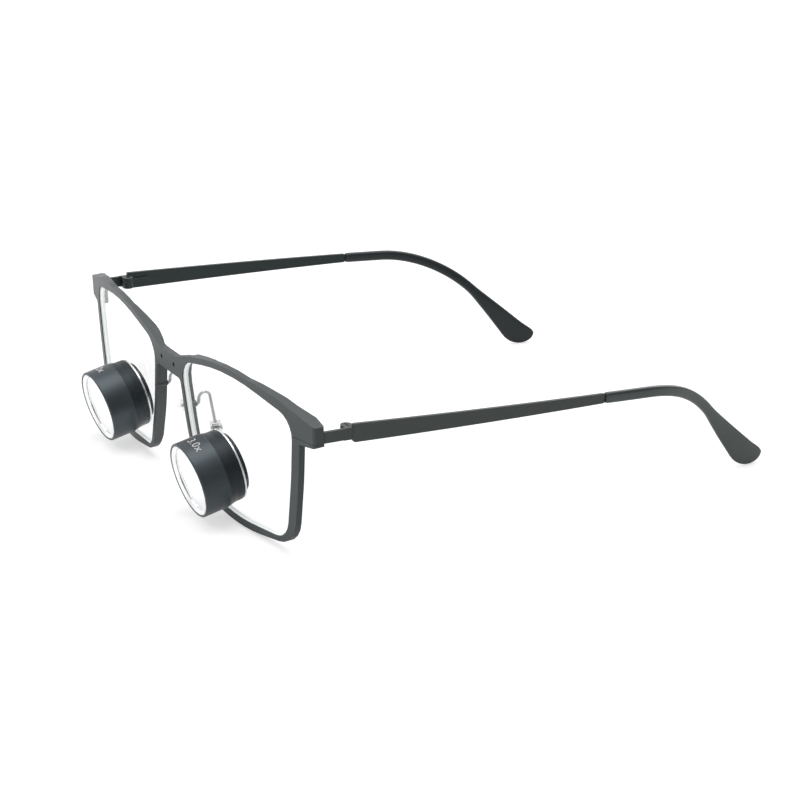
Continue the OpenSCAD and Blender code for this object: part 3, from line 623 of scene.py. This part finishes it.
def printed_enamel():
    """Pad-printed white enamel: a little uneven and chalky."""
    material, where = started("white_print_enamel")
    chalk = add(
        material, "ShaderNodeTexNoise", {"Vector": where, "Scale": PRINT_GRAIN, "Detail": 2.0}
    ).outputs["Fac"]
    body = add(
        material,
        "ShaderNodeMix",
        {"Factor": chalk, "A": linear("#d9dadb"), "B": linear("#f4f4f4")},
        data_type="RGBA",
    ).outputs["Result"]
    shader = add(material, "ShaderNodeBsdfPrincipled", {"Base Color": body, "Roughness": 0.6})
    add(material, "ShaderNodeOutputMaterial", {"Surface": shader.outputs["BSDF"]})
    return material


# The front: dark grey and matte, and paler where it is rubbed
front_lacquer = lacquered_metal(
    "gunmetal_lacquer_on_titanium", "#4c5152", "#535859", worn="#7c8081", roughness=0.4
)
# The temples: a little duller; painted shade makes their faces towards the head darker than outside
temple_lacquer = lacquered_metal(
    "dark_lacquer_on_titanium",
    "#515655",
    "#575c5b",
    worn="#7c807f",
    roughness=0.44,
    # painted shade on the faces towards the head
    painted_inner_shade="#323c3c",
)
# The barrels: dark and silky, with painted shade that darkens them behind their straight front part
barrel_anodised = turned_metal(
    "satin_black_anodised_aluminium",
    "#434a4e",
    "#4c5458",
    roughness=0.34,
    metallic=0.6,
    line=0.12 * MM,
    depth=0.12,
    # painted shade behind the straight part
    painted_rear_shade="#2c3236",
)
# The rings: pale bands that mirror the room a little blurred
ring_aluminium = turned_metal(
    "turned_bright_aluminium",
    "#e9eaeb",
    "#f3f4f4",
    roughness=0.16,
    metallic=1.0,
    line=0.1 * MM,
    depth=0.1,
)
# The pad arms are pale with a soft glint, the pad screws nearly white and matte so that they
# hardly show in their clear boxes, and the other screws dark with a small glint
wire_steel = drawn_steel("silver_plated_wire", "#cfd2d3", "#dfe1e2", roughness=0.24, metallic=0.5)
screw_plate = drawn_steel("satin_silver_plate", "#f4f5f5", "#fbfbfb", roughness=0.4, metallic=0.1)
screw_steel = drawn_steel("blackened_screw_steel", "#4a4c4e", "#5a5c5e", roughness=0.34)
tip_acetate = bent_acetate()
lens_plastic = cast_lens()
lens_edge = ground_edge()
flint_glass = polished_flint()
crown_glass = coated_crown()
# The pads hardly show, their cores are a little duller, and the clip boxes have painted shade lines
pad_silicone = clear_moulding(
    "clear_silicone", tint="#fefefe", body="#eef0f0", share=0.02, rim_share=0.14
)
core_nylon = clear_moulding(
    "clear_nylon", tint="#fdfdfd", body="#eaecec", share=0.03, rim_share=0.16
)
box_polycarbonate = clear_moulding(
    # grey skin: painted shade at a glance and on the edges
    "clear_polycarbonate", tint="#fefefe", body="#8f9495", share=0.05, rim_share=0.2, painted_edge_shade=0.75
)
mark_enamel = printed_enamel()

FINISHES = {
    "front_frame": front_lacquer,
    "carrier_lens": lens_plastic,
    "rim_screw": screw_steel,
    "objective_housing": barrel_anodised,
    "front_ring": ring_aluminium,
    "objective_crown": crown_glass,
    "objective_flint": flint_glass,
    "spacer_tube": barrel_anodised,
    "seat_ring": ring_aluminium,
    "eyepiece_housing": barrel_anodised,
    "eyepiece_lens": flint_glass,
    "eyepiece_ring": barrel_anodised,
    "pad_arm": wire_steel,
    "pad_box": box_polycarbonate,
    "pad_screw": screw_plate,
    "pad_core": core_nylon,
    "nose_pad": pad_silicone,
    "hinge_lug": temple_lacquer,
    "hinge_screw": screw_steel,
    "hinge_leaf": temple_lacquer,
    "temple": temple_lacquer,
    "temple_tip": tip_acetate,
}
for name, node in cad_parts.items():
    node.data.materials.clear()
    node.data.materials.append(FINISHES[name.removeprefix("left_").removeprefix("right_")])


def alone(piece):
    """Selects one piece and nothing else."""
    bpy.ops.object.select_all(action="DESELECT")
    piece.select_set(True)
    bpy.context.view_layer.objects.active = piece


def edit_all():
    """Starts editing the active piece, all of it selected."""
    bpy.ops.object.mode_set(mode="EDIT")
    bpy.ops.mesh.select_all(action="SELECT")


def stop_editing():
    bpy.ops.object.mode_set(mode="OBJECT")


def copied(node, name):
    """A free copy of a CAD node's mesh, merged into one skin."""
    piece = bpy.data.objects.new(name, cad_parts[node].data.copy())
    bpy.context.scene.collection.objects.link(piece)
    alone(piece)
    bpy.ops.mesh.customdata_custom_splitnormals_clear()
    edit_all()
    bpy.ops.mesh.remove_doubles(threshold=MERGE)
    stop_editing()
    return piece


def with_modifier(piece, kind, **settings):
    """Shapes a piece with a modifier and applies it."""
    alone(piece)
    modifier = piece.modifiers.new(kind.lower(), kind)
    for name, value in settings.items():
        setattr(modifier, name, value)
    bpy.ops.object.modifier_apply(modifier=modifier.name)


def scope_axes(side):
    """A telescope's origin, its forward axis, and the directions sideways and up from it."""
    sign = SIDES[side]
    down, turn = SCOPE_DECLINATION, SCOPE_CONVERGENCE
    forward = Vector((
        -sign * math.sin(turn) * math.cos(down),
        -math.cos(turn) * math.cos(down),
        -math.sin(down),
    ))
    sideways = Vector((math.cos(turn), -sign * math.sin(turn), 0))
    origin = Vector((sign * SCOPE_X, SCOPE_Y, SCOPE_Z))
    return origin, forward, sideways, forward.cross(sideways)


def cut_lens(side):
    """The carrier lens: clear on its faces and round its bore, and white on its ground edge."""
    lens = copied(f"{side}_carrier_lens", f"{side}_cut_lens")
    lens.data.materials.append(lens_edge)
    depthwise = Vector((0, math.cos(FRONT_LEAN), math.sin(FRONT_LEAN)))
    origin, forward, _, _ = scope_axes(side)
    for face in lens.data.polygons:
        off_axis = (face.center - origin).cross(forward).length
        from_front = (face.center - BRIDGE_HOLES).dot(depthwise)
        depth = WRAP_R - math.hypot(face.center.x, WRAP_R - from_front)
        on_edge = abs(face.normal.dot(depthwise)) < EDGE_TILT or TONGUE[0] < depth < TONGUE[1]
        face.material_index = 1 if on_edge and off_axis > SCOPE_R + BORE_MARGIN else 0
    bpy.ops.object.shade_smooth_by_angle(angle=LENS_CREASE)
    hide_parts(f"{side}_carrier_lens")
    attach(lens, "front")


def silicone_pad(side):
    """The nose pad round its core: thin, crowned, narrower at the top and with a round edge."""
    bpy.ops.object.select_all(action="DESELECT")
    bpy.ops.mesh.primitive_cube_add(size=2)
    pad = bpy.context.object
    pad.name = f"{side}_silicone_pad"
    edit_all()
    bpy.ops.mesh.bevel(offset=PAD_BEVEL, segments=2)
    bpy.ops.mesh.subdivide(number_cuts=2)
    stop_editing()
    with_modifier(pad, "SUBSURF", levels=SMOOTH_LEVELS, render_levels=SMOOTH_LEVELS)
    sign = SIDES[side]
    out = Vector((
        math.cos(PAD_SPLAY) * math.cos(PAD_SLANT),
        -math.sin(PAD_SPLAY),
        math.cos(PAD_SPLAY) * math.sin(PAD_SLANT),
    ))
    high = Vector((-math.sin(PAD_SLANT), 0, math.cos(PAD_SLANT)))
    wide = high.cross(out)
    centre = PAD_AXIS - out * PAD_AXIS_OUT
    for vertex in pad.data.vertices:
        x, y, z = vertex.co
        breadth = 1 - PAD_NARROWING * max(0, z)
        crown = 1 - PAD_CROWN * (PAD_CROWN_UP * z * z + PAD_CROWN_ACROSS * y * y)
        place = (
            centre
            + out * (x * crown * PAD_T / 2)
            + wide * (y * breadth * PAD_W / 2)
            + high * (z * PAD_H / 2)
        )
        vertex.co = (sign * place.x, place.y, place.z)
    edit_all()
    bpy.ops.mesh.normals_make_consistent(inside=False)
    stop_editing()
    bpy.ops.object.shade_smooth()
    pad.data.materials.append(pad_silicone)
    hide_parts(f"{side}_nose_pad")
    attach(pad, f"{side}_pad")


def tip_sleeve(side):
    """The moulded sleeve, with its rings of facets smoothed into one soft surface."""
    sleeve = copied(f"{side}_temple_tip", f"{side}_tip_sleeve")
    edit_all()
    bpy.ops.mesh.tris_convert_to_quads(face_threshold=QUAD_BEND, shape_threshold=QUAD_BEND)
    stop_editing()
    with_modifier(sleeve, "SUBSURF", levels=SMOOTH_LEVELS, render_levels=SMOOTH_LEVELS)
    bpy.ops.object.shade_smooth()
    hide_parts(f"{side}_temple_tip")
    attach(sleeve, f"{side}_temple")


def power_mark(side):
    """The magnifying power, printed round the top of the objective housing near its front."""
    bpy.ops.object.select_all(action="DESELECT")
    bpy.ops.object.text_add()
    mark = bpy.context.object
    mark.data.body = MARK
    mark.data.align_x = "CENTER"
    mark.data.size = MARK_HEIGHT / FIGURE_SHARE
    mark.data.space_character = MARK_SPACING
    bpy.ops.object.convert(target="MESH")
    mark.name = f"{side}_power_mark"
    # Strips, so that the flat figures can follow the housing's curve
    half = mark.dimensions.x / 2
    cut = -half
    edit_all()
    while cut < half:
        bpy.ops.mesh.select_all(action="SELECT")
        bpy.ops.mesh.bisect(plane_co=(cut, 0, 0), plane_no=(1, 0, 0))
        cut += MARK_STRIP
    stop_editing()
    origin, forward, sideways, upward = scope_axes(side)
    middle = MARK_ANGLE if side == "left" else math.pi - MARK_ANGLE
    radius = SCOPE_R + MARK_HALF
    for vertex in mark.data.vertices:
        angle = middle - vertex.co.x / radius
        around = sideways * math.cos(angle) + upward * math.sin(angle)
        vertex.co = origin + forward * (MARK_STATION - vertex.co.y) + around * radius
    with_modifier(mark, "SOLIDIFY", thickness=2 * MARK_HALF, offset=0)
    edit_all()
    bpy.ops.mesh.remove_doubles(threshold=MERGE)
    bpy.ops.mesh.normals_make_consistent(inside=False)
    stop_editing()
    mark.data.materials.clear()
    mark.data.materials.append(mark_enamel)
    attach(mark, "front")


for side in SIDES:
    cut_lens(side)
    silicone_pad(side)
    tip_sleeve(side)
    power_mark(side)

# Studio: how brightly the room lights the loupes, and the direction of its bright side. In gloss
# the room is white on that side and dim on the other, and fades between these two cosines
WHITE = (1, 1, 1, 1)
ROOM_LIGHT = 0.3
BRIGHT_SIDE = Vector((-0.8, 0, 0.6))
ROOM_FADE = (-0.5, 0.7)
ROOM_DIM = 0.3

# Gloss shows the floor white in front of the loupes and dim to the left and behind, and it fades
# between these sums of x and y in metres
FLOOR_SIZE = 6
FLOOR_FADE = (-0.06, 0.03)
FLOOR_DIM = 0.05

# The lamps' light falls off with distance, so the lift that keeps the floor white grows to 1
# between these distances in metres
FLOOR_LIFT = 0.58
LIFT_FADE = (0.2, 0.8)

# Soft boxes: name, place, size and watts
SOFT_BOXES = [
    ("key_box", (-0.45, -0.72, 0.62), 0.5, 2.7),
    ("top_box", (0.05, 0.1, 0.9), 0.7, 3.6),
    ("back_box", (-0.5, 0.75, 0.45), 0.5, 1.2),
]
LAMPS_AIM = Vector((0, 0, 0.02))


def background_rays(owner):
    """Rays that look at the background, by eye or through glass, and rays that mirror it."""
    path = add(owner, "ShaderNodeLightPath")
    seen = add(
        owner,
        "ShaderNodeMath",
        {0: path.outputs["Is Camera Ray"], 1: path.outputs["Is Transmission Ray"]},
        operation="MAXIMUM",
    ).outputs["Value"]
    return seen, path.outputs["Is Glossy Ray"]


# White room
world = bpy.data.worlds.new("white_room")
bpy.context.scene.world = world
world.use_nodes = True
world.node_tree.nodes.clear()
seen, mirrored = background_rays(world)
direction = add(world, "ShaderNodeTexCoord").outputs["Generated"]
towards = add(
    world, "ShaderNodeVectorMath", {0: direction, 1: BRIGHT_SIDE}, operation="DOT_PRODUCT"
).outputs["Value"]
gloss_room = add(
    world,
    "ShaderNodeMapRange",
    {
        "Value": towards,
        "From Min": ROOM_FADE[0],
        "From Max": ROOM_FADE[1],
        "To Min": ROOM_DIM,
        "To Max": 1.0,
    },
).outputs["Result"]
unseen = add(
    world, "ShaderNodeMix", {"Factor": mirrored, "A": ROOM_LIGHT, "B": gloss_room}
).outputs["Result"]
level = add(
    world, "ShaderNodeMix", {"Factor": seen, "A": unseen, "B": 1.0}
).outputs["Result"]
room = add(world, "ShaderNodeBackground", {"Color": WHITE, "Strength": level})
add(world, "ShaderNodeOutputWorld", {"Surface": room.outputs["Background"]})

# Floor of matte white laminate
bpy.ops.object.select_all(action="DESELECT")
bpy.ops.mesh.primitive_plane_add(size=FLOOR_SIZE, location=(0, 0, 0))
floor = bpy.context.object
floor.name = "floor"
table, where = started("white_table_laminate")
cloud = add(
    table, "ShaderNodeTexNoise", {"Vector": where, "Scale": LAMINATE_CLOUD, "Detail": 2.0}
).outputs["Fac"]
laminate = add(
    table,
    "ShaderNodeMix",
    {"Factor": cloud, "A": linear("#dcdcdc"), "B": linear("#dedede")},
    data_type="RGBA",
).outputs["Result"]
diffuse = add(table, "ShaderNodeBsdfDiffuse", {"Color": laminate})
seen, mirrored = background_rays(table)
left_and_behind = add(
    table, "ShaderNodeVectorMath", {0: where, 1: (1, 1, 0)}, operation="DOT_PRODUCT"
).outputs["Value"]
gloss_floor = add(
    table,
    "ShaderNodeMapRange",
    {
        "Value": left_and_behind,
        "From Min": FLOOR_FADE[0],
        "From Max": FLOOR_FADE[1],
        "To Min": 1.0,
        "To Max": FLOOR_DIM,
    },
).outputs["Result"]
in_gloss = add(
    table, "ShaderNodeMath", {0: mirrored, 1: gloss_floor}, operation="MULTIPLY"
).outputs["Value"]
shown = add(
    table, "ShaderNodeMath", {0: seen, 1: in_gloss}, operation="MAXIMUM"
).outputs["Value"]
distance = add(
    table, "ShaderNodeVectorMath", {0: where}, operation="LENGTH"
).outputs["Value"]
evened = add(
    table,
    "ShaderNodeMapRange",
    {
        "Value": distance,
        "From Min": LIFT_FADE[0],
        "From Max": LIFT_FADE[1],
        "To Min": FLOOR_LIFT,
        "To Max": 1.0,
    },
).outputs["Result"]
strength = add(
    table, "ShaderNodeMath", {0: shown, 1: evened}, operation="MULTIPLY"
).outputs["Value"]
lift = add(table, "ShaderNodeEmission", {"Color": WHITE, "Strength": strength})
sheet = add(
    table, "ShaderNodeAddShader", {0: diffuse.outputs["BSDF"], 1: lift.outputs["Emission"]}
)
add(table, "ShaderNodeOutputMaterial", {"Surface": sheet.outputs["Shader"]})
floor.data.materials.append(table)

for name, place, size, watts in SOFT_BOXES:
    box = bpy.data.lights.new(name, "AREA")
    box.shape = "SQUARE"
    box.size = size
    box.energy = watts
    lamp = bpy.data.objects.new(name, box)
    bpy.context.scene.collection.objects.link(lamp)
    lamp.location = place
    lamp.rotation_euler = (LAMPS_AIM - lamp.location).to_track_quat("-Z", "Y").to_euler()
    lamp.visible_camera = False

# Camera where the photograph was taken from
azimuth, elevation, roll = (
    math.radians(a) for a in (CAMERA_AZIMUTH, CAMERA_ELEVATION, CAMERA_ROLL)
)
backward = Vector((
    math.sin(azimuth) * math.cos(elevation),
    -math.cos(azimuth) * math.cos(elevation),
    math.sin(elevation),
))
level_right = Vector((math.cos(azimuth), math.sin(azimuth), 0))
level_up = backward.cross(level_right)
right = level_right * math.cos(roll) + level_up * math.sin(roll)
up = level_up * math.cos(roll) - level_right * math.sin(roll)
optics = bpy.data.cameras.new("photo_camera")
optics.sensor_width = SENSOR
optics.lens = FOCAL_PIXELS / PHOTO_PIXELS * SENSOR
optics.clip_start = CAMERA_NEAREST
camera = bpy.data.objects.new("photo_camera", optics)
bpy.context.scene.collection.objects.link(camera)
camera.matrix_world = Matrix.Translation(
    CAMERA_AIM + backward * CAMERA_DISTANCE + right * CAMERA_OFFSET[0] + up * CAMERA_OFFSET[1]
) @ Matrix((right, up, backward)).transposed().to_4x4()
bpy.context.scene.camera = camera
bpy.context.scene.view_settings.view_transform = "Standard"
